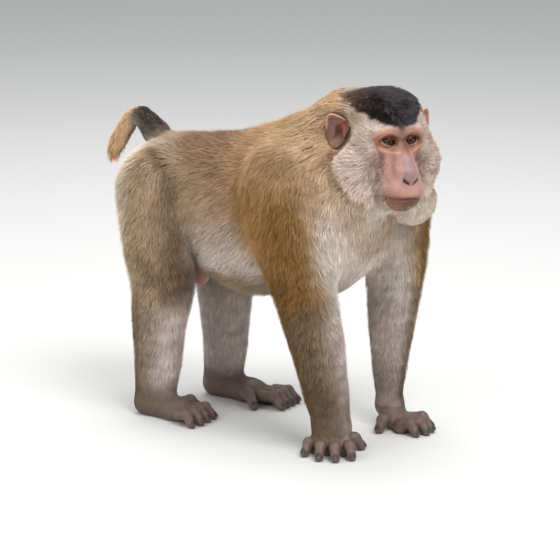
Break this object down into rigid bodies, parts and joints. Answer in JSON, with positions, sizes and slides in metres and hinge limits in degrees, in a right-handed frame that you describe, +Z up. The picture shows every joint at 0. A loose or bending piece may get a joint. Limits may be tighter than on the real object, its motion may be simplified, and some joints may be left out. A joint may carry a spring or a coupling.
{
  "type": "monkey",
  "caption": "Life-size adult male pig-tailed macaque standing on all fours with its head turned to its right, a still display model.",
  "frame": {"origin": "on the floor, under the middle of the animal's overall length and width", "axes": "+Z up, the animal faces -Y, its left side is +X"},
  "size_m": [0.281, 0.5686, 0.4906],
  "materials": {
    "coat": "dense short fur, ochre-brown on the back, cream below, dark on the crown",
    "face_skin": "bare soft skin, satin",
    "ear_skin": "bare thin skin, satin",
    "dark_skin": "dark bare skin with sparse short hair, satin",
    "bare_skin": "bare wrinkled skin, satin",
    "eye": "wet gloss, brown iris",
    "nail": "dark horn, semi-gloss"
  },
  "bodies": {
    "root": {"belly": "coat", "chest": "coat", "ear_l": "ear_skin", "ear_r": "ear_skin", "eye_l": "eye", "eye_r": "eye", "foot_l": "dark_skin", "foot_r": "dark_skin", "forearm_l": "coat", "forearm_r": "coat", "hand_l": "dark_skin", "hand_r": "dark_skin", "head": "coat", "nail_big_toe_l": "nail", "nail_big_toe_r": "nail", "nail_finger_2_l": "nail", "nail_finger_2_r": "nail", "nail_finger_3_l": "nail", "nail_finger_3_r": "nail", "nail_finger_4_l": "nail", "nail_finger_4_r": "nail", "nail_finger_5_l": "nail", "nail_finger_5_r": "nail", "nail_thumb_l": "nail", "nail_thumb_r": "nail", "nail_toe_2_l": "nail", "nail_toe_2_r": "nail", "nail_toe_3_l": "nail", "nail_toe_3_r": "nail", "nail_toe_4_l": "nail", "nail_toe_4_r": "nail", "nail_toe_5_l": "nail", "nail_toe_5_r": "nail", "neck": "coat", "rump": "coat", "scrotum": "bare_skin", "shin_l": "coat", "shin_r": "coat", "tail": "coat", "thigh_l": "coat", "thigh_r": "coat", "upper_arm_l": "coat", "upper_arm_r": "coat"}
  },
  "joints": []
}
